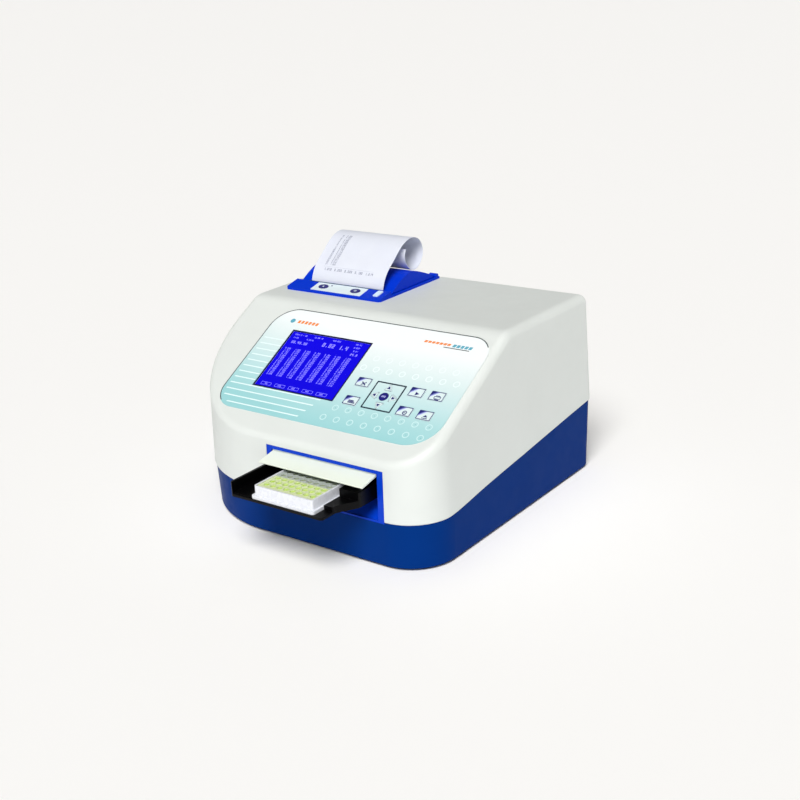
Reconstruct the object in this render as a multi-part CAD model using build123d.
"""Microplate reader with a built-in strip printer, in millimetres, +Z up.

Working coordinates: x across, y back from the foot of the front wall, z up from a datum
just inside the base shell's floor. placed() moves each finished piece to the row frame, whose
origin lies on the surface that the feet stand on, under the middle of the whole reader.
"""
from build123d import *
from math import cos, pi, radians, sin, tan
import os

# ---------------------------------------------------------------- driving dimensions
BODY_HALF = 188.35          # half width at z = 0
BODY_DEPTH = 350.0          # front wall to back wall at z = 0
BASE_LOW = -1.5             # the base shell's lower edge
TOP_Z = 214.4               # flat top of the cover
DRAFT = 2.0                 # degrees, base widens upwards and cover narrows upwards
WALL = 3.0
CORNERS = (147.0, 52.0, 12.0, 12.0)   # front left, front right, back right, back left
SPLIT_FRONT = 49.0          # parting line between base and cover
SPLIT_BACK = 84.0
SPLIT_CLIMB = ((96.0, 55.3), (183.0, 65.2), (270.0, 75.0))   # y, z on the way to the back
FOOT_HEIGHT = 5.0           # z = 0 above the surface it stands on

RIDGE_Y = 174.5             # where the flat top meets the sloping panel
SLOPE_DEG = 29.74
RIDGE_ROUND = 30.0
CROWN_ROUND = 10.0

SLOT_X = (-22.6, 137.9)     # front cut-out for the plate carrier
SLOT_INNER_X = (-15.9, 129.7)
SLOT_TOP = 106.0
SLOT_BOTTOM = 47.0
BEZEL_TOP = 4.4
BEZEL_DEPTH = 28.0
SILL_FRONT = 49.0
SILL_BACK = 68.0

FLAP_AXIS = (5.0, 100.1)    # y, z
FLAP_X = (-15.0, 127.0)
FLAP_LENGTH = 27.0
FLAP_TILT = 10.8
FLAP_PIN_R = 1.5

LABEL_X = (-126.5, 179.0)   # front panel film, s is measured down the slope from the ridge
LABEL_S = (14.2, 172.9)
LABEL_CORNERS = (32.0, 28.0, 38.0, 29.0)   # top left, top right, bottom right, bottom left
LABEL_THICK = 0.5
LCD_X = (-86.4, 28.6)
LCD_S = (48.9, 135.1)
LCD_BORDER = 2.0

KEY_SIZE = (18.4, 12.6)
KEY_COLUMNS = (52.9, 124.7, 151.0)
KEY_ROWS = (103.4, 130.8)
PAD_CENTRE = (88.9, 117.3)
ARROW_REACH = 13.3
ARROW_R = 5.4
ENTER_R = 5.6
KEY_GAP = 0.3
KEY_RISE = 0.9              # above the slope
KEY_DROP = 3.6              # below the slope

PRINTER_X = (-162.0, -14.5)
PRINTER_Y = (207.5, 333.0)
STRIP_BACK = 230.4          # back face of the sloping front strip
STRIP_Z = (217.2, 222.6)
FLANGE_Z = 217.0
LID_X = (-159.5, -17.5)
LID_Y = (235.5, 327.0)
LID_LOW = 217.6             # lower edge of the dome
LID_DOME = ((240.0, 221.0), (250.0, 226.8), (262.0, 232.2), (273.0, 235.0), (285.0, 234.6),
            (297.0, 231.0), (310.0, 226.0), (318.0, 222.8))
LID_HINGE = (328.2, 218.6)
LID_KNUCKLE = 3.1
LID_WALL = 2.4
PAPER_X = (-140.5, -28.5)
PAPER_THICK = 0.3
PAPER_PATH = (
    (232.9, 216.5), (233.8, 223), (237, 231), (243, 240), (256, 251), (275, 266), (297, 273),
    (312, 267.6), (319.2, 253), (313.4, 239), (300, 232.0), (286.5, 238.4), (281, 250), (284, 261),
)
PRINTER_LABEL_X = (-124.5, -46.5)
PRINTER_LABEL_S = (2.0, 21.0)       # measured down the strip from its back edge
PRINTER_BUTTONS = {"feed_button": (-110.5, 11.0), "select_button": (-60.5, 11.0)}
PRINTER_BUTTON_HALF = (7.0, 4.8)
LATCH_X = (-30.4, -22.8)
LATCH_S = (3.2, 16.6)
PLATEN = (238.8, 211.8)
PLATEN_EAR = 3.4
PLATEN_R = 5.5
EAR_X = (-151.6, -24.9)     # outer faces of the lid's two platen ears
ROLL = (284.0, 185.5)
ROLL_R = 24.0

PLATE_LONG = 127.76         # standard 96-well footprint
PLATE_WIDE = 85.48
PLATE_TALL = 14.35
PLATE_SKIRT = 3.6           # height of the flared foot
PLATE_INSET = 2.9           # upper body inside the foot, on each side
PLATE_RIM = 1.8
PLATE_RECESS = 1.6          # deck below the rim
PLATE_X = 55.6
PLATE_FRONT = -66.6
PLATE_BOTTOM = 75.0
WELL_PITCH = 9.0
WELL_R = 3.2
WELL_DEPTH = 10.9
FILL_DEPTH = 9.9
FILL_DEPTH_REAR = 3.0
FILLED_ROWS = 6

CARRIER_X = (-15.0, 124.5)
CARRIER_Y = (-68.0, 138.0)
CARRIER_BOTTOM = 72.0
CARRIER_WALL_TOP = 88.5
ROD_X = (5.0, 106.0)
ROD_Z = 62.0
ROD_R = 4.0
ROD_Y = (31.0, 301.0)
BEARING_Y = (112.0, 136.0)
BUSH_R = 6.5
RUNNING = 0.05              # radial clearance of everything that turns or slides on a shaft

BELT_X = (119.5, 124.5)
PULLEY_R = 8.0
PULLEY_Z = 54.0
IDLER_Y = 46.0
DRIVE_Y = 305.0
BELT_THICK = 1.2

BEAM_Y = 98.0
BEAM_Z = 103.0
WHEEL_X = (-98.0, -94.0)
WHEEL_R = 26.0
FILTER_RING = 17.0
FILTER_R = 6.0

CHASSIS_Z = (8.0, 9.5)
POSTS = ((-140.0, 72.0, 60.0), (160.0, 72.0, 60.0), (168.0, 252.0, 76.0), (-166.0, 296.0, 81.0))
BOSSES = ((-100.0, 60.0), (20.0, 18.0), (150.0, 110.0), (150.0, 250.0), (-160.0, 190.0), (-20.0, 322.0))
FEET = ((-115.0, 62.0), (140.0, 52.0), (140.0, 298.0), (-140.0, 298.0))

PANEL_BACK = BODY_DEPTH - 0.1       # outer face of the recessed rear panel
PANEL_Y = (PANEL_BACK - 1.5, PANEL_BACK)
PANEL_X = (-154.7, 129.7)
PANEL_Z = (11.3, 72.7)
PANEL_WINDOW_X = (-150.0, 125.0)
PANEL_WINDOW_Z = (16.0, 68.0)
PANEL_SCREWS = [(x, z) for x in (-152.3, -12.0, 127.3) for z in (13.7, 70.3)]
INLET = (-123.0, 42.0)
ROCKER = (-78.0, 42.0)
ROCKER_AXIS_Y = PANEL_BACK - 3.0
ROCKER_TILT = 8.0
USB = (-38.0, 42.0)
SERIAL = (2.0, 42.0)
FAN = (85.0, 42.0)
FAN_HALF = 25.0

RISE = tan(radians(DRAFT))
BACK_EXTREME = BODY_DEPTH + SPLIT_BACK * RISE
MIDDLE_Y = (CARRIER_Y[0] + BACK_EXTREME) / 2
ORIGIN_SHIFT = Location((0, -MIDDLE_Y, FOOT_HEIGHT))

SLOPE = Plane(
    origin=(0, RIDGE_Y, TOP_Z),
    x_dir=(1, 0, 0),
    z_dir=(0, -sin(radians(SLOPE_DEG)), cos(radians(SLOPE_DEG))),
).location
STRIP_SLOPE = Plane(
    origin=(0, STRIP_BACK, STRIP_Z[1]),
    x_dir=(1, 0, 0),
    z_dir=(0, -(STRIP_Z[1] - STRIP_Z[0]), STRIP_BACK - PRINTER_Y[0]),
).location


# ---------------------------------------------------------------- helpers
def block(x, y, z):
    """Box given by its (low, high) on each axis."""
    size = [span[1] - span[0] for span in (x, y, z)]
    centre = [(span[0] + span[1]) / 2 for span in (x, y, z)]
    return Pos(*centre) * Box(*size)


def bar_x(x, y, z, radius):
    """Cylinder along x between two x values."""
    return Pos((x[0] + x[1]) / 2, y, z) * Rot(0, 90, 0) * Cylinder(radius, x[1] - x[0])


def bar_y(x, y, z, radius):
    """Cylinder along y between two y values."""
    return Pos(x, (y[0] + y[1]) / 2, z) * Rot(90, 0, 0) * Cylinder(radius, y[1] - y[0])


def bar_z(x, y, z, radius):
    """Cylinder along z between two z values."""
    return Pos(x, y, (z[0] + z[1]) / 2) * Cylinder(radius, z[1] - z[0])


def grow(span, margin):
    """A (low, high) pair widened by a margin at both ends."""
    return (span[0] - margin, span[1] + margin)


def rounded_polygon(points, radii):
    """Face on the XY plane with its own radius at each corner."""
    outline = make_face(Polyline(*points, close=True))
    for point, radius in zip(points, radii):
        corner = outline.vertices().sort_by_distance((*point, 0))[0]
        outline = fillet(corner, radius)
    return outline


def side_profile(points):
    """Face on the YZ plane from (y, z) points."""
    return Plane.YZ * make_face(Polyline(*points, close=True))


def spread(face, x):
    """A side profile stretched between two x values."""
    return Pos(x[0], 0, 0) * extrude(face, amount=x[1] - x[0], dir=(1, 0, 0))


def group(*solids):
    """Separate solids kept in one node."""
    flat = []
    for solid in solids:
        flat.extend(solid.solids())
    return Compound(children=flat)


# ---------------------------------------------------------------- outer forms
def plan(front, back, half_front, half_back, inset):
    """Plan outline of the case, its corner radii reduced by the inset."""
    points = ((-half_front, front), (half_front, front), (half_back, back), (-half_back, back))
    return rounded_polygon(points, [radius - inset for radius in CORNERS])


def base_form(inset=0.0):
    """Solid that the base shell is cut from, flaring upwards."""
    shrink = inset - BASE_LOW * RISE
    half = BODY_HALF - shrink
    outline = plan(shrink, BODY_DEPTH - shrink, half, half, inset)
    return extrude(Pos(0, 0, BASE_LOW) * outline, amount=SPLIT_BACK + 8 - BASE_LOW, taper=-DRAFT)


def cover_form(inset=0.0):
    """Solid that the cover is cut from, narrowing upwards, with its sloping panel."""
    low_z = SPLIT_FRONT - 7
    front_drop = 2 * SPLIT_FRONT - low_z
    back_drop = 2 * SPLIT_BACK - low_z
    outline = plan(
        -front_drop * RISE + inset,
        BODY_DEPTH + back_drop * RISE - inset,
        BODY_HALF + front_drop * RISE - inset,
        BODY_HALF + back_drop * RISE - inset,
        inset,
    )
    form = extrude(Pos(0, 0, low_z) * outline, amount=TOP_Z - inset - low_z, taper=DRAFT)
    form -= SLOPE * block((-260, 260), (-300, 260), (-inset, 200))
    ridge = [edge for edge in form.edges() if is_ridge(edge)]
    form = fillet(ridge, RIDGE_ROUND)
    crown = [face for face in form.faces() if face.normal_at(face.center()).Z > 0.5]
    rim = []
    for face in crown:
        rim.extend(edge for edge in face.edges() if not is_ridge(edge) and edge not in rim)
    return fillet(rim, CROWN_ROUND - inset)


def is_ridge(edge):
    """Whether an edge runs along x where the top meets the slope."""
    along_x = abs(edge.tangent_at(0.5).X) > 0.999
    return along_x and abs(edge.center().Y - RIDGE_Y) < RIDGE_ROUND


def below_split(lift=0.0):
    """Everything under the parting surface, which climbs towards the back."""
    level = Line((-60, SPLIT_FRONT), (34, SPLIT_FRONT))
    end = (BODY_DEPTH + 6, SPLIT_BACK)
    climb = Spline(level @ 1, *SPLIT_CLIMB, end, tangents=[(1, 0), (1, 0.1)])
    close = Polyline(climb @ 1, (420, SPLIT_BACK), (420, -20), (-60, -20), level @ 0)
    face = Plane.YZ * make_face([level, climb, close])
    return Pos(-260, 0, lift) * extrude(face, amount=520, dir=(1, 0, 0))


def slope_block(x, s, height):
    """Box on the sloping panel: x across, s down the slope, height above it."""
    return SLOPE * block(x, (-s[1], -s[0]), height)


# ---------------------------------------------------------------- keys
def rounded_rectangle(centre, size, radius):
    return Pos(centre[0], -centre[1]) * RectangleRounded(size[0], size[1], radius)


def function_key_face(centre, margin=0.0):
    size = (KEY_SIZE[0] + 2 * margin, KEY_SIZE[1] + 2 * margin)
    return rounded_rectangle(centre, size, 1.0 + margin)


def arrow_key_face(turn, margin=0.0):
    """Rounded triangle that points outwards from the pad's centre."""
    triangle = Rot(0, 0, 90) * RegularPolygon(ARROW_R + 1.2 + 2 * margin, 3)
    rounded = fillet(triangle.vertices(), 1.2)
    return Pos(PAD_CENTRE[0], -PAD_CENTRE[1]) * Rot(0, 0, turn) * Pos(0, ARROW_REACH - 1.5) * rounded


def enter_key_face(margin=0.0):
    return Pos(PAD_CENTRE[0], -PAD_CENTRE[1]) * Circle(ENTER_R + margin)


FUNCTION_KEYS = {
    "key_clear": (KEY_COLUMNS[0], KEY_ROWS[0]),
    "key_mode": (KEY_COLUMNS[0], KEY_ROWS[1]),
    "key_run": (KEY_COLUMNS[1], KEY_ROWS[0]),
    "key_print": (KEY_COLUMNS[2], KEY_ROWS[0]),
    "key_no": (KEY_COLUMNS[1], KEY_ROWS[1]),
    "key_feed": (KEY_COLUMNS[2], KEY_ROWS[1]),
}
ARROW_KEYS = {"arrow_up": 0, "arrow_left": 90, "arrow_down": 180, "arrow_right": 270}


def key_faces(margin):
    """Outline of every panel key by node name."""
    faces = {name: function_key_face(centre, margin) for name, centre in FUNCTION_KEYS.items()}
    faces.update({name: arrow_key_face(turn, margin) for name, turn in ARROW_KEYS.items()})
    faces["key_enter"] = enter_key_face(margin)
    return faces


def panel_keys():
    keys = {}
    for name, face in key_faces(0.0).items():
        key = extrude(Pos(0, 0, -KEY_DROP) * face, amount=KEY_DROP + KEY_RISE)
        keys[name] = SLOPE * chamfer(key.faces().sort_by(Axis.Z)[-1].edges(), 0.25)
    return keys


def key_holes(low, high):
    """Clearance holes for all the keys, between two heights on the slope."""
    faces = key_faces(KEY_GAP).values()
    return [SLOPE * extrude(Pos(0, 0, low) * face, amount=high - low) for face in faces]


# ---------------------------------------------------------------- case
def vents(x, z, y, count, height):
    """Row of upright slots through a wall."""
    pitch = (x[1] - x[0]) / count
    return [
        block((x[0] + index * pitch, x[0] + index * pitch + 3), y, (z, z + height))
        for index in range(count)
    ]


def top_cover():
    shell = cover_form() - cover_form(WALL)
    for x, y, z in POSTS:
        lug = block((x - 12, x + 12), (y - 10, y + 10), (z, z + 6))
        reach = block((min(x, 0) * 2, max(x, 0) * 2), (y - 10, y + 10), (z, z + 6))
        side = reach - block((-abs(x), abs(x)), (y - 11, y + 11), (z - 1, z + 7))
        shell += (lug + side) & cover_form(WALL / 2)
        shell -= bar_z(x, y, (z - 1, z + 7), 1.9)
    shell -= below_split()
    groove = (cover_form(-1.0) - cover_form(0.8)) & below_split(0.8)
    shell -= groove
    shell -= block(SLOT_X, (-12, 40), (20, SLOT_TOP))
    shell -= slope_block(LCD_X, LCD_S, (-12, 12))
    shell -= key_holes(-12, 12)
    shell -= block(grow(PRINTER_X, -7.2), (214.2, 326), (190, 230))
    shell -= vents((-60, 60), 120, (BODY_DEPTH - 12, BODY_DEPTH + 12), 12, 40)
    return shell


def base_shell():
    floor_top = BASE_LOW + WALL
    below = BASE_LOW - 1
    beyond = BODY_DEPTH + 20
    inner = base_form(WALL) & block((-260, 260), (-20, beyond), (floor_top, 120))
    shell = (base_form() - inner) & below_split()
    shell += block((-159, 134), (PANEL_Y[0] - 7, beyond), (floor_top, 76)) & base_form(1.0)
    for x, y, z in POSTS:
        shell += bar_z(x, y, (floor_top - 1, z), 6.0)
        shell -= bar_z(x, y, (below, z + 1), 2.25)
        shell -= bar_z(x, y, (below, z - 16), 4.4)
    for x, y in BOSSES:
        shell += bar_z(x, y, (floor_top - 1, CHASSIS_Z[0]), 5.0)
        shell -= bar_z(x, y, (floor_top, CHASSIS_Z[0] + 1), 1.5)
    for x, y in FEET:
        shell -= bar_z(x, y, (below, floor_top + 1), 3.1)
    shell -= block(grow(PANEL_X, 0.3), (PANEL_Y[0], beyond), grow(PANEL_Z, 0.3))
    shell -= block(PANEL_WINDOW_X, (PANEL_Y[0] - 20, beyond), PANEL_WINDOW_Z)
    for x, z in PANEL_SCREWS:
        shell -= bar_y(x, (PANEL_Y[0] - 6, beyond), z, 1.5)
    for index in range(14):
        x = -85 + index * 13
        shell -= block((x, x + 4), (150, 210), (below, floor_top + 1))
    return shell - block(SLOT_X, (-12, 40), (SLOT_BOTTOM, SLOT_TOP))


def rear_panel():
    panel = block(PANEL_X, PANEL_Y, PANEL_Z)
    for x, z in PANEL_SCREWS:
        panel -= bar_y(x, grow(PANEL_Y, 1), z, 1.7)
    cut_outs = ((INLET, 14.2, 10.2), (ROCKER, 7.2, 11.4), (USB, 6.2, 5.6), (SERIAL, 10.5, 5.6))
    for (x, z), half_x, half_z in cut_outs:
        panel -= block((x - half_x, x + half_x), grow(PANEL_Y, 1), (z - half_z, z + half_z))
    panel -= bar_y(FAN[0], grow(PANEL_Y, 1), FAN[1], 22.5)
    for radius in (6, 12, 18):
        panel += bar_y(FAN[0], PANEL_Y, FAN[1], radius) - bar_y(FAN[0], PANEL_Y, FAN[1], radius - 1.6)
    for turn in (45, 135):
        spoke = Pos(FAN[0], PANEL_Y[0] + 0.75, FAN[1]) * Rot(0, turn, 0) * Box(46, 1.5, 2.4)
        panel += spoke
    return panel


def chassis_plate():
    outline = plan(10, BODY_DEPTH - 11, BODY_HALF - 8, BODY_HALF - 8, 10)
    plate = extrude(Pos(0, 0, CHASSIS_Z[0]) * outline, amount=CHASSIS_Z[1] - CHASSIS_Z[0])
    for x, y, _ in POSTS:
        plate -= bar_z(x, y, grow(CHASSIS_Z, 1), 8.0)
    for x, y in BOSSES:
        plate -= bar_z(x, y, grow(CHASSIS_Z, 1), 1.7)
    for index in range(6):
        x = -70 + index * 26
        plate -= block((x, x + 12), (150, 210), grow(CHASSIS_Z, 1))
    return plate


def rubber_feet():
    feet = []
    for x, y in FEET:
        pad = Pos(x, y, (BASE_LOW - FOOT_HEIGHT) / 2) * Cone(9.0, 10.5, BASE_LOW + FOOT_HEIGHT)
        plug = bar_z(x, y, (BASE_LOW, BASE_LOW + WALL), 3.0)
        plug += Pos(x, y, BASE_LOW + WALL + 1.2) * Cone(4.2, 2.2, 2.4)
        feet.append(pad + plug)
    return group(*feet)


def screw(shank_r, length, head_r, head_height):
    """Pan-head screw with its head's seat at z = 0, shank downwards and a cross recess."""
    head = Pos(0, 0, head_height / 2) * Cylinder(head_r, head_height)
    head = fillet(head.faces().sort_by(Axis.Z)[-1].edges(), head_height * 0.45)
    for turn in (0, 90):
        head -= Pos(0, 0, head_height) * Rot(0, 0, turn) * Box(head_r * 1.1, head_r * 0.28, head_height)
    return head + Pos(0, 0, -length / 2) * Cylinder(shank_r, length)


def cover_screws():
    upward = Rot(180, 0, 0) * screw(1.9, 20, 3.9, 2.4)
    return group(*[Pos(x, y, z - 16) * upward for x, y, z in POSTS])


def m3_screws():
    upright = screw(1.45, 5.0, 2.4, 1.6)
    floor_screws = [Pos(x, y, CHASSIS_Z[1]) * upright for x, y in BOSSES]
    backward = Rot(-90, 0, 0) * upright
    panel = [Pos(x, PANEL_Y[1], z) * backward for x, z in PANEL_SCREWS]
    return group(*floor_screws, *panel)


# ---------------------------------------------------------------- slot and flap
def slot_bezel():
    outer = block(grow(SLOT_X, -0.2), (-6, BEZEL_DEPTH), (SLOT_BOTTOM, SLOT_TOP - 0.2))
    top = SLOT_TOP - BEZEL_TOP
    behind = BEZEL_DEPTH + 1
    profile = [(-7, SILL_FRONT), (1.5, SILL_FRONT), (behind, SILL_BACK), (behind, top), (-7, top)]
    bezel = outer - spread(side_profile(profile), SLOT_INNER_X)
    bezel &= cover_form(0.5)
    bezel -= bar_x(grow(SLOT_INNER_X, -0.01), *FLAP_AXIS, 3.0)
    bezel -= bar_x(grow(SLOT_INNER_X, 4.0), *FLAP_AXIS, FLAP_PIN_R + 0.02)
    return bezel


def hinge_pins():
    flap = bar_x(grow(SLOT_INNER_X, 3.8), *FLAP_AXIS, FLAP_PIN_R)
    lid = bar_x(grow(PRINTER_X, -1.1), *LID_HINGE, 1.5)
    return group(flap, lid)


def flap_door():
    leaf = block(FLAP_X, (-FLAP_LENGTH, 0), (-2.5, -0.5))
    leaf = fillet(leaf.edges().filter_by(Axis.X).group_by(Axis.Y)[0], 0.8)
    leaf += block(FLAP_X, (-1.6, 1.6), (-2.5, 0))
    leaf += bar_x(FLAP_X, 0, 0, 2.5)
    for x in (FLAP_X[0] + 18, (FLAP_X[0] + FLAP_X[1]) / 2, FLAP_X[1] - 18):
        leaf += block((x - 1, x + 1), (-FLAP_LENGTH + 6, -1), (-3.4, -2.4))
    leaf -= bar_x(grow(FLAP_X, 1), 0, 0, FLAP_PIN_R + RUNNING)
    return Pos(0, *FLAP_AXIS) * Rot(FLAP_TILT, 0, 0) * leaf


# ---------------------------------------------------------------- front panel
def panel_label():
    left, right = LABEL_X
    top, bottom = -LABEL_S[0], -LABEL_S[1]
    points = ((left, top), (right, top), (right, bottom), (left, bottom))
    film = SLOPE * extrude(rounded_polygon(points, LABEL_CORNERS), amount=LABEL_THICK)
    film -= slope_block(grow(LCD_X, LCD_BORDER), grow(LCD_S, LCD_BORDER), (-1, 2))
    film -= key_holes(-1, 2)
    return film


def lcd_window():
    return slope_block(grow(LCD_X, LCD_BORDER - 0.15), grow(LCD_S, LCD_BORDER - 0.15), (0, LABEL_THICK - 0.1))


def lcd_module():
    frame = slope_block((-108, 39), (34, 150), (-12, -3.4))
    frame += slope_block(grow(LCD_X, 0.0), LCD_S, (-3.5, -3.1))
    frame -= slope_block((-104, 35), (38, 146), (-13, -10))
    for x in (-104.5, 35.5):
        for s in (37.5, 146.5):
            frame += SLOPE * bar_z(x, -s, (-3.5, -WALL), 3.0)
    return frame


def keypad_board():
    board = slope_block((42, 166), (92, 142), (-8, -6.4))
    for face in key_faces(0.0).values():
        centre = face.center()
        board += SLOPE * bar_z(centre.X, centre.Y, (-6.6, -4.4), 2.6)
    for x in (66.5, 163.5):
        for s in (95, 139):
            board += SLOPE * bar_z(x, -s, (-6.5, -WALL), 2.2)
    return board


# ---------------------------------------------------------------- printer
def printer_frame():
    flange = block(PRINTER_X, PRINTER_Y, (TOP_Z, FLANGE_Z))
    strip = spread(
        side_profile([
            (PRINTER_Y[0], TOP_Z), (PRINTER_Y[0], STRIP_Z[0]), (STRIP_BACK, STRIP_Z[1]), (STRIP_BACK, TOP_Z),
        ]),
        PRINTER_X,
    )
    frame = flange + strip
    frame = fillet(frame.edges().filter_by(Axis.Z).group_by(Axis.Y)[0], 4.0)
    frame += block(grow(PRINTER_X, -7.5), (214.5, 325.7), (198, TOP_Z + 0.5))
    frame -= block(grow(PRINTER_X, -9.5), (216.5, 323.7), (190, TOP_Z - 1))
    frame -= block(grow(EAR_X, 0.5), (STRIP_BACK + 0.1, 323.7), (190, 240))
    ear_y = (LID_HINGE[0] - LID_KNUCKLE, LID_HINGE[0] + LID_KNUCKLE)
    for x in ((PRINTER_X[0] + 0.4, LID_X[0] - 0.4), (LID_X[1] + 0.4, PRINTER_X[1] - 0.4)):
        frame += bar_x(x, *LID_HINGE, LID_KNUCKLE) + block(x, ear_y, (TOP_Z, LID_HINGE[1]))
    frame -= bar_x(grow(PRINTER_X, -1.0), *LID_HINGE, 1.52)
    frame -= bar_x(grow(LID_X, 0.4), *LID_HINGE, LID_KNUCKLE + 0.4)
    for name in PRINTER_BUTTONS:
        frame -= printer_button_solid(name, KEY_GAP, -9.0, 9.0)
    frame -= latch_solid(KEY_GAP, -12.0, 9.0)
    return frame


def printer_button_solid(name, margin, low, high):
    x, s = PRINTER_BUTTONS[name]
    half_x, half_s = PRINTER_BUTTON_HALF
    face = Pos(x, -s) * Ellipse(half_x + margin, half_s + margin)
    return STRIP_SLOPE * extrude(Pos(0, 0, low) * face, amount=high - low)


def latch_solid(margin, low, high):
    centre = (sum(LATCH_X) / 2, -sum(LATCH_S) / 2)
    size = (LATCH_X[1] - LATCH_X[0] + 2 * margin, LATCH_S[1] - LATCH_S[0] + 2 * margin)
    face = Pos(*centre) * RectangleRounded(*size, 1.5 + margin)
    return STRIP_SLOPE * extrude(Pos(0, 0, low) * face, amount=high - low)


def printer_label():
    face = Pos(sum(PRINTER_LABEL_X) / 2, -sum(PRINTER_LABEL_S) / 2) * RectangleRounded(
        PRINTER_LABEL_X[1] - PRINTER_LABEL_X[0], PRINTER_LABEL_S[1] - PRINTER_LABEL_S[0], 1.2
    )
    film = STRIP_SLOPE * extrude(face, amount=0.3)
    for name in PRINTER_BUTTONS:
        film -= printer_button_solid(name, KEY_GAP, -1.0, 2.0)
    return film


def lid_outline(inset):
    """Side outline of the printer lid's dome."""
    start = (LID_Y[0] + inset, LID_LOW)
    (first_y, first_z), *others = LID_DOME
    dome = [(first_y + inset * 0.7, first_z - inset * 0.7), *[(y, z - inset) for y, z in others]]
    arch = Spline(start, *dome, (LID_Y[1] - inset, LID_LOW))
    return Plane.YZ * make_face([arch, Line(arch @ 1, arch @ 0)])


def printer_lid():
    outside = spread(lid_outline(0.0), LID_X)
    solid_back = block(LID_X, (LID_HINGE[0] - 8, LID_HINGE[0] + 8), (200, 250))
    lid = outside - (spread(lid_outline(LID_WALL), grow(LID_X, -LID_WALL)) - solid_back)
    for x in (LID_X[0], LID_X[1] - 8):
        knuckle = bar_x((x, x + 8), *LID_HINGE, LID_KNUCKLE)
        web = block((x, x + 8), (LID_HINGE[0] - 9, LID_HINGE[0]), (LID_LOW - 0.2, LID_HINGE[1] + 2.2))
        lid += knuckle + (web & spread(lid_outline(-0.5), grow(LID_X, 1)))
    for x in (EAR_X[0], EAR_X[1] - PLATEN_EAR):
        ear_x = (x, x + PLATEN_EAR)
        ear_y = (LID_Y[0] + 0.8, PLATEN[0] + 8)
        lid += block(ear_x, ear_y, (PLATEN[1] - 4.0, LID_LOW + 0.3))
        lid += block(ear_x, ear_y, (LID_LOW, LID_LOW + 6)) & outside
    lid -= bar_x(grow(LID_X, 1), *LID_HINGE, 1.5 + RUNNING)
    lid -= bar_x(grow(LID_X, 1), *PLATEN, 2.0 + RUNNING)
    return lid


def platen_roller():
    roller = bar_x(grow(EAR_X, -PLATEN_EAR - 0.4), *PLATEN, PLATEN_R)
    return roller + bar_x(grow(EAR_X, -0.2), *PLATEN, 2.0)


def printer_mechanism():
    body = block((-150, -27), (217.5, 229.0), (188, 212))
    body -= block((-146, -31), (216, 226), (192, 209))
    head = block((-143, -34), (229.0, 231.2), (199, 213.0))
    motor = bar_x((-60, -38), 240, 193, 9.0) + block((-62, -38), (228.9, 232), (186, 200))
    return body + head + motor


def paper_bucket():
    tub = block((-151.5, -25.5), (254.5, 318), (157, 205))
    tub -= bar_x((-148.5, -28.5), *ROLL, ROLL_R + 4)
    tub -= block((-148.5, -28.5), (ROLL[0] - ROLL_R - 4, ROLL[0] + ROLL_R + 4), (ROLL[1], 210))
    for x in ((-151.5, -148.5), (-28.5, -25.5)):
        tub += block(x, (254.5, 318), (157, 205))
    for x in ((-148.6, -141.4), (-35.6, -28.4)):
        tub += bar_x(x, *ROLL, 5.4)
    return tub


def paper_roll():
    roll = bar_x((-140.5, -36.5), *ROLL, ROLL_R) - bar_x((-141, -36), *ROLL, 5.0 + 0.9)
    return roll


def printed_paper():
    """Strip that leaves the printer, folds back over the lid and curls up."""
    spine = Spline(*PAPER_PATH)
    steps = 48
    sides = {}
    for sign in (1, -1):
        points = []
        for step in range(steps + 1):
            along = spine % (step / steps)
            point = spine @ (step / steps)
            half = sign * PAPER_THICK / 2
            points.append((point.X - along.Y * half, point.Y + along.X * half))
        sides[sign] = points
    outer = Spline(*sides[1])
    inner = Spline(*reversed(sides[-1]))
    face = Plane.YZ * make_face([outer, Line(outer @ 1, inner @ 0), inner, Line(inner @ 1, outer @ 0)])
    return spread(face, PAPER_X)


# ---------------------------------------------------------------- plate transport
def guide_rods():
    return group(*[bar_y(x, ROD_Y, ROD_Z, ROD_R) for x in ROD_X])


def rod_support(y, foot):
    """Bridge that holds one end of both guide rods, with a foot on the chassis."""
    top = ROD_Z + 8
    support = block((-8, 118.4), y, (CHASSIS_Z[1], top))
    support -= block((14, 97), grow(y, 1), (20, 55))
    support += block((-8, 118.4), foot, (CHASSIS_Z[1], CHASSIS_Z[1] + 3))
    for x in ROD_X:
        support -= bar_y(x, grow(y, 1), ROD_Z, ROD_R + 0.02)
    return support


def transport_brackets():
    front = rod_support((ROD_Y[0], ROD_Y[0] + 8), (ROD_Y[0], ROD_Y[0] + 18))
    front += block((116.8, 118.4), (ROD_Y[0], IDLER_Y + 8), (PULLEY_Z - 8, PULLEY_Z + 8))
    front += bar_x((117, BELT_X[1] + 1.5), IDLER_Y, PULLEY_Z, 2.0)
    rear = rod_support((ROD_Y[1] - 8, ROD_Y[1]), (ROD_Y[1] - 18, ROD_Y[1]))
    motor = block((128, 130), (DRIVE_Y - 21, DRIVE_Y + 21), (CHASSIS_Z[1], 76))
    motor += block((128, 160), (DRIVE_Y - 21, DRIVE_Y + 21), (CHASSIS_Z[1], CHASSIS_Z[1] + 2))
    motor -= bar_x((127, 131), DRIVE_Y, PULLEY_Z, 11.2)
    return group(front, rear, motor)


def drive_motor():
    motor = block((130, 166), (DRIVE_Y - 18, DRIVE_Y + 18), (PULLEY_Z - 18, PULLEY_Z + 18))
    motor = chamfer(motor.edges().filter_by(Axis.X), 4)
    motor += bar_x((128.2, 131), DRIVE_Y, PULLEY_Z, 11)
    motor -= bar_x((120, 142), DRIVE_Y, PULLEY_Z, 2.5 + RUNNING)
    return motor


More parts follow.
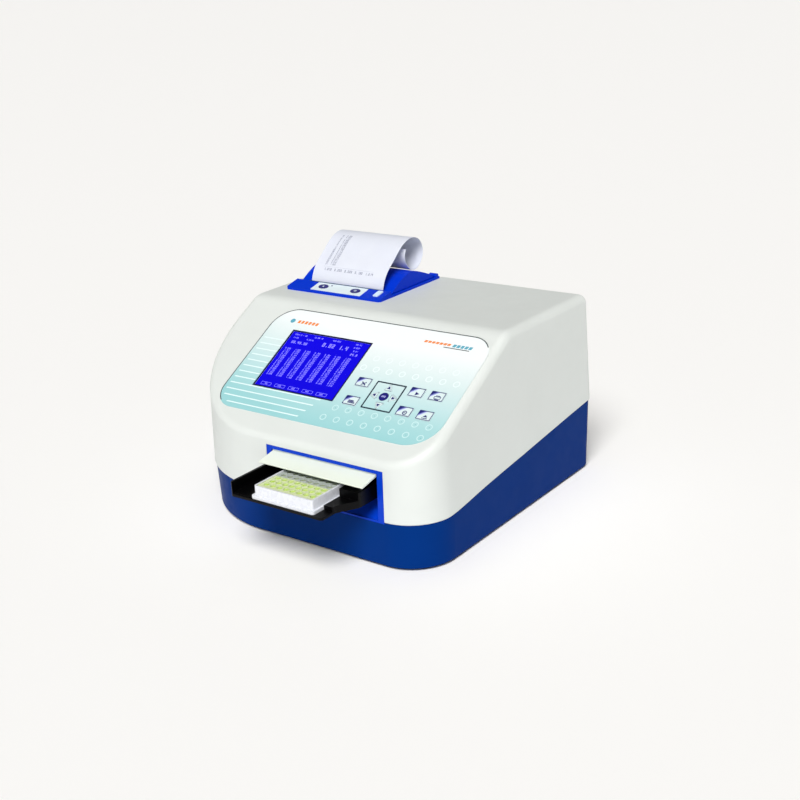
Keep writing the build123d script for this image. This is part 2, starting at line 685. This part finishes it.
def toothed_pulley(y):
    """Belt pulley with two flanges and shallow teeth."""
    body = bar_x((BELT_X[0] - 0.7, BELT_X[1] + 0.7), y, PULLEY_Z, PULLEY_R)
    for x in ((BELT_X[0] - 0.7, BELT_X[0] - 0.2), (BELT_X[1] + 0.2, BELT_X[1] + 0.7)):
        body += bar_x(x, y, PULLEY_Z, PULLEY_R + 2)
    teeth = 20
    for index in range(teeth):
        turn = 2 * pi * index / teeth
        centre = (y + PULLEY_R * cos(turn), PULLEY_Z + PULLEY_R * sin(turn))
        body -= bar_x((BELT_X[0] - 0.1, BELT_X[1] + 0.1), *centre, 0.5)
    return body


def drive_pulley():
    return toothed_pulley(DRIVE_Y) + bar_x((BELT_X[1], 141), DRIVE_Y, PULLEY_Z, 2.5)


def idler_pulley():
    return toothed_pulley(IDLER_Y) - bar_x(grow(BELT_X, 3), IDLER_Y, PULLEY_Z, 2.0 + RUNNING)


def belt_loop(radius):
    loop = bar_x(BELT_X, IDLER_Y, PULLEY_Z, radius) + bar_x(BELT_X, DRIVE_Y, PULLEY_Z, radius)
    return loop + block(BELT_X, (IDLER_Y, DRIVE_Y), (PULLEY_Z - radius, PULLEY_Z + radius))


def drive_belt():
    inner = PULLEY_R + 0.1
    return belt_loop(inner + BELT_THICK) - belt_loop(inner)


def plate_carrier():
    low, high = CARRIER_BOTTOM, CARRIER_WALL_TOP
    left, right = CARRIER_X
    front, back = CARRIER_Y
    plate_back = PLATE_FRONT + PLATE_LONG
    outline = rounded_polygon(
        ((left, front), (110.5, front), (110.5, -46), (right, -23), (right, back), (left, back)),
        (3, 4, 8, 10, 3, 3),
    )
    tray = extrude(Pos(0, 0, low) * outline, amount=high - low)
    pocket = (PLATE_X - PLATE_WIDE / 2 - 0.5, PLATE_X + PLATE_WIDE / 2 + 0.5)
    tray -= block(pocket, (front - 5, plate_back + 0.5), (PLATE_BOTTOM, high + 5))
    tray -= block((left + 3, PLATE_X), (front - 5, plate_back + 0.5), (PLATE_BOTTOM + 1.2, high + 5))
    tray -= block((left + 3, PLATE_X), (front - 5, front + 1.5), (PLATE_BOTTOM, high + 5))
    tray -= block((PLATE_X, right + 5), (front - 5, -50), (PLATE_BOTTOM, high + 5))
    tray -= block((PLATE_X, right + 5), (front - 5, -24), (80, high + 5))
    tray -= block((left + 4, right - 4), (plate_back + 6, back - 4), (low + 6, high + 5))
    tray -= block((pocket[0] + 6, pocket[1] - 6), (PLATE_FRONT + 6, plate_back - 6), (low - 1, PLATE_BOTTOM + 1))
    for x in ROD_X:
        tray += block((x - 10, x + 10), BEARING_Y, (ROD_Z - 9, low + 1))
        tray -= bar_y(x, grow(BEARING_Y, 1), ROD_Z, BUSH_R + 0.02)
    tray += block((117.4, right), (128, 136), (59.6, low + 1))
    tray -= block((119.0, right + 1), (127, 137), (61.4, 63.9))
    return tray


def carrier_bushes():
    bushes = [
        bar_y(x, BEARING_Y, ROD_Z, BUSH_R) - bar_y(x, grow(BEARING_Y, 1), ROD_Z, ROD_R + RUNNING)
        for x in ROD_X
    ]
    return group(*bushes)


def well_centres():
    middle_y = PLATE_FRONT + PLATE_LONG / 2
    for column in range(8):
        for row in range(12):
            yield PLATE_X + (column - 3.5) * WELL_PITCH, middle_y + (row - 5.5) * WELL_PITCH


def plate_slab(inset, corner, z, height):
    """Rounded slab with the plate's footprint, drawn in by an inset."""
    outline = RectangleRounded(PLATE_WIDE - 2 * inset, PLATE_LONG - 2 * inset, corner)
    return Pos(PLATE_X, PLATE_FRONT + PLATE_LONG / 2, z) * extrude(outline, amount=height)


def microplate():
    top = PLATE_BOTTOM + PLATE_TALL
    deck = top - PLATE_RECESS
    plate = plate_slab(0.0, 3.2, PLATE_BOTTOM, PLATE_SKIRT)
    plate += plate_slab(PLATE_INSET, 2.4, PLATE_BOTTOM, PLATE_TALL)
    plate -= plate_slab(PLATE_INSET + PLATE_RIM, 1.6, deck, PLATE_RECESS + 1)
    return plate - [bar_z(x, y, (deck - WELL_DEPTH, top + 1), WELL_R) for x, y in well_centres()]


def well_liquid():
    bottom = PLATE_BOTTOM + PLATE_TALL - PLATE_RECESS - WELL_DEPTH
    filled_to = PLATE_FRONT + PLATE_LONG / 2 + (FILLED_ROWS - 6) * WELL_PITCH
    plugs = []
    for x, y in well_centres():
        depth = FILL_DEPTH if y < filled_to else FILL_DEPTH_REAR
        plugs.append(bar_z(x, y, (bottom, bottom + depth), WELL_R - 0.02))
    return group(*plugs)


# ---------------------------------------------------------------- optics
def optics_bridge():
    """Beam above the plate path, its legs, and the bench for lamp and filters."""
    y = (BEAM_Y - 10, BEAM_Y + 10)
    bridge = block((-24, 134), y, (94.5, 112))
    bridge += block((-24, -18), y, (CHASSIS_Z[1], 112)) + block((128, 134), y, (CHASSIS_Z[1], 112))
    bridge += block((-165, -20), (78, 118), (68, 72))
    bridge += block((-160, -152), (84, 112), (CHASSIS_Z[1], 69)) + block((-64, -56), (84, 112), (CHASSIS_Z[1], 69))
    bridge += bar_x((-91, -20), BEAM_Y, BEAM_Z, 4.8)
    bridge += block((-60, -40), (BEAM_Y - 4, BEAM_Y + 4), (71, BEAM_Z))
    bridge += block((-88, -70), (108, 122), (71, BEAM_Z)) - bar_x((-95, -60), BEAM_Y + FILTER_RING, BEAM_Z, 11.0)
    bridge -= bar_x((-92, 120), BEAM_Y, BEAM_Z, 3.0)
    for column in range(8):
        bridge -= bar_z(PLATE_X + (column - 3.5) * WELL_PITCH, BEAM_Y, (90, BEAM_Z), 2.2)
    return bridge


def lamp_housing():
    housing = block((-162, -122), (80, 116), (72, 122))
    for index in range(7):
        x = -159 + index * 5.2
        housing -= block((x, x + 2.4), (79, 117), (114, 123))
    housing -= bar_x((-158, -121), BEAM_Y, BEAM_Z - 3, 9.5)
    return housing


def lamp():
    glass = bar_x((-146, -132), BEAM_Y, BEAM_Z - 3, 5.0) + Pos(-132, BEAM_Y, BEAM_Z - 3) * Sphere(5.0)
    return glass + bar_x((-158, -145), BEAM_Y, BEAM_Z - 3, 6.5)


def filter_centres():
    for index in range(6):
        turn = pi + 2 * pi * index / 6
        yield BEAM_Y + FILTER_RING + FILTER_RING * cos(turn), BEAM_Z + FILTER_RING * sin(turn)


def filter_wheel():
    axis = (BEAM_Y + FILTER_RING, BEAM_Z)
    wheel = bar_x(WHEEL_X, *axis, WHEEL_R) + bar_x((WHEEL_X[0] - 2, WHEEL_X[1] + 2), *axis, 5.0)
    wheel += bar_x((WHEEL_X[1], -82), *axis, 2.0)
    for y, z in filter_centres():
        wheel -= bar_x(grow(WHEEL_X, 1), y, z, FILTER_R)
    notch = bar_x(grow(WHEEL_X, 1), axis[0] + WHEEL_R * cos(0.5), axis[1] + WHEEL_R * sin(0.5), 1.6)
    return wheel - notch


def optical_filters():
    return group(*[bar_x((WHEEL_X[0] + 0.6, WHEEL_X[1] - 0.6), y, z, FILTER_R - 0.02) for y, z in filter_centres()])


def filter_motor():
    axis = (BEAM_Y + FILTER_RING, BEAM_Z)
    motor = bar_x((-90, -66), *axis, 10.9)
    return motor - bar_x((-91, -80), *axis, 2.0 + RUNNING)


def detector_board():
    board = block((18, 93), (84, 112), (60, 61.6))
    for column in range(8):
        board += bar_z(PLATE_X + (column - 3.5) * WELL_PITCH, BEAM_Y, (61.5, 67), 3.2)
    for x in (24, 87):
        board += bar_z(x, 90, (CHASSIS_Z[1], 60.5), 2.6)
    return board


# ---------------------------------------------------------------- electronics
def main_board():
    board = block((-172, -36), (124, 208), (18, 19.6))
    for x in (-166, -42):
        for y in (130, 202):
            board += bar_z(x, y, (CHASSIS_Z[1], 18.5), 2.8)
    for x, y, wide, deep, tall in (
        (-110, 165, 26, 26, 3.0), (-145, 150, 18, 10, 4.5), (-145, 180, 18, 10, 4.5),
        (-70, 150, 12, 20, 3.5), (-70, 185, 30, 8, 9.0), (-110, 196, 40, 7, 9.0),
    ):
        board += block((x - wide / 2, x + wide / 2), (y - deep / 2, y + deep / 2), (19.5, 19.6 + tall))
    for index in range(4):
        board += bar_z(-56 - index * 12, 133, (19.5, 31), 4.0)
    return board


def power_supply():
    case = block((-150, -42), (216, 310), (CHASSIS_Z[1], 50))
    slots = [block((x, x + 4), (230, 296), (46, 52)) for x in range(-142, -48, 12)]
    return case - slots


def at_panel(shape):
    """Moves a piece drawn about the rear panel's outer face, y = 0, to its place."""
    solids = [Pos(0, PANEL_BACK, 0) * solid for solid in shape.solids()]
    return solids[0] if len(solids) == 1 else Compound(children=solids)


def fan_housing():
    x, z = FAN
    through = (-22, 4)
    housing = block((x - FAN_HALF, x + FAN_HALF), (-14.1, -1.7), (z - FAN_HALF, z + FAN_HALF))
    housing -= bar_y(x, (-12.1, 4), z, 23.0)
    ring = bar_y(x, (-22, -11.5), z, 23.0) - bar_y(x, (-22, -11.5), z, 10.5)
    for turn in (45, 135):
        ring -= Pos(x, -13.5, z) * Rot(0, turn, 0) * Box(60, 8, 4)
    housing -= ring
    housing -= bar_y(x, through, z, 1.5 + RUNNING)
    for dx in (-20, 20):
        for dz in (-20, 20):
            housing -= bar_y(x + dx, through, z + dz, 1.6)
    return at_panel(housing)


def fan_rotor():
    x, z = FAN
    rotor = bar_y(x, (-11.5, -3.0), z, 10.0) + bar_y(x, (-13.9, -10.5), z, 1.5)
    for index in range(7):
        blade = Pos(15.5, 0, 0) * Rot(35, 0, 0) * Box(13, 1.2, 9)
        rotor += Pos(x, -7.3, z) * Rot(0, index * 360 / 7, 0) * blade
    return at_panel(rotor & bar_y(x, (-22, 4), z, 22.3))


def power_inlet():
    x, z = INLET
    inlet = block((x - 24, x + 24), (0, 1.9), (z - 13, z + 13))
    inlet += block((x - 14, x + 14), (-22.5, 0.5), (z - 10, z + 10))
    inlet -= block((x - 12.2, x + 12.2), (-15.5, 8), (z - 8.2, z + 8.2))
    for dx, dz in ((-7, -2.5), (7, -2.5), (0, 2.5)):
        inlet += block((x + dx - 1, x + dx + 1), (-16.5, -3.1), (z + dz - 2.5, z + dz + 2.5))
    x, z = ROCKER
    switch = block((x - 9.5, x + 9.5), (0, 1.1), (z - 13, z + 13))
    switch += block((x - 7, x + 7), (-19.5, 0.5), (z - 11.2, z + 11.2))
    switch -= block((x - 5.2, x + 5.2), (-15.5, 8), (z - 10.3, z + 10.3))
    switch -= bar_x((x - 6.3, x + 6.3), ROCKER_AXIS_Y - PANEL_BACK, z, 1.5 + RUNNING)
    return at_panel(group(inlet, switch))


def power_rocker():
    x, z = ROCKER
    outline = [(-4, -3), (2.4, -9.2), (4.0, -9.2), (2.4, 0), (4.0, 9.2), (2.4, 9.2), (-4, 3)]
    rocker = spread(side_profile(outline), (-4.8, 4.8)) + bar_x((-6.2, 6.2), 0, 0, 1.5)
    return Pos(x, ROCKER_AXIS_Y, z) * Rot(ROCKER_TILT, 0, 0) * rocker


def data_ports():
    x, z = USB
    usb = block((x - 6, x + 6), (-16.5, 0), (z - 5.4, z + 5.4))
    usb -= block((x - 4.2, x + 4.2), (-12.5, 8), (z - 3.9, z + 3.9))
    usb += block((x - 2.8, x + 2.8), (-13.5, -6.5), (z - 1.6, z + 1.6))
    x, z = SERIAL
    serial = block((x - 15.4, x + 15.4), (0, 0.9), (z - 6.2, z + 6.2))
    serial += block((x - 10.2, x + 10.2), (-11.5, 0.5), (z - 5.3, z + 5.3))
    shell = extrude(RectangleRounded(17.6, 9.0, 2.5), amount=2.6)
    shell -= extrude(RectangleRounded(16.2, 7.6, 2.0), amount=2.6)
    serial += Pos(x, 0.3, z) * Rot(-90, 0, 0) * shell
    for index in range(9):
        row = index // 5
        pin_x = x - 5.54 + 2.77 * (index - row * 5) + row * 1.38
        serial += bar_y(pin_x, (0.5, 2.5), z + 1.42 - row * 2.84, 0.5)
    for side in (-12.5, 12.5):
        serial += bar_y(x + side, (0.5, 2.7), z, 2.2)
    return at_panel(group(usb, serial))


# ---------------------------------------------------------------- assembly
PARTS = {
    "base_shell": base_shell,
    "top_cover": top_cover,
    "rear_panel": rear_panel,
    "chassis_plate": chassis_plate,
    "rubber_feet": rubber_feet,
    "cover_screws": cover_screws,
    "m3_screws": m3_screws,
    "slot_bezel": slot_bezel,
    "hinge_pins": hinge_pins,
    "flap_door": flap_door,
    "panel_label": panel_label,
    "lcd_window": lcd_window,
    "lcd_module": lcd_module,
    "keypad_board": keypad_board,
    "printer_frame": printer_frame,
    "printer_label": printer_label,
    "feed_button": lambda: printer_button_solid("feed_button", 0.0, -5.0, 0.9),
    "select_button": lambda: printer_button_solid("select_button", 0.0, -5.0, 0.9),
    "lid_latch": lambda: latch_solid(0.0, -6.0, 0.9),
    "printer_lid": printer_lid,
    "platen_roller": platen_roller,
    "printer_mechanism": printer_mechanism,
    "paper_bucket": paper_bucket,
    "paper_roll": paper_roll,
    "printed_paper": printed_paper,
    "guide_rods": guide_rods,
    "transport_brackets": transport_brackets,
    "drive_motor": drive_motor,
    "drive_pulley": drive_pulley,
    "idler_pulley": idler_pulley,
    "drive_belt": drive_belt,
    "plate_carrier": plate_carrier,
    "carrier_bushes": carrier_bushes,
    "microplate": microplate,
    "well_liquid": well_liquid,
    "optics_bridge": optics_bridge,
    "lamp_housing": lamp_housing,
    "lamp": lamp,
    "filter_wheel": filter_wheel,
    "optical_filters": optical_filters,
    "filter_motor": filter_motor,
    "detector_board": detector_board,
    "main_board": main_board,
    "power_supply": power_supply,
    "fan_housing": fan_housing,
    "fan_rotor": fan_rotor,
    "power_inlet": power_inlet,
    "power_rocker": power_rocker,
    "data_ports": data_ports,
}


def placed(shape):
    """A finished piece moved from working coordinates to the row frame."""
    solids = shape.solids()
    moved = [ORIGIN_SHIFT * solid for solid in solids]
    return moved[0] if len(moved) == 1 else Compound(children=moved)


os.makedirs("parts", exist_ok=True)
for node, make in PARTS.items():
    export_step(placed(make()), f"parts/{node}.step")
for node, key in panel_keys().items():
    export_step(placed(key), f"parts/{node}.step")
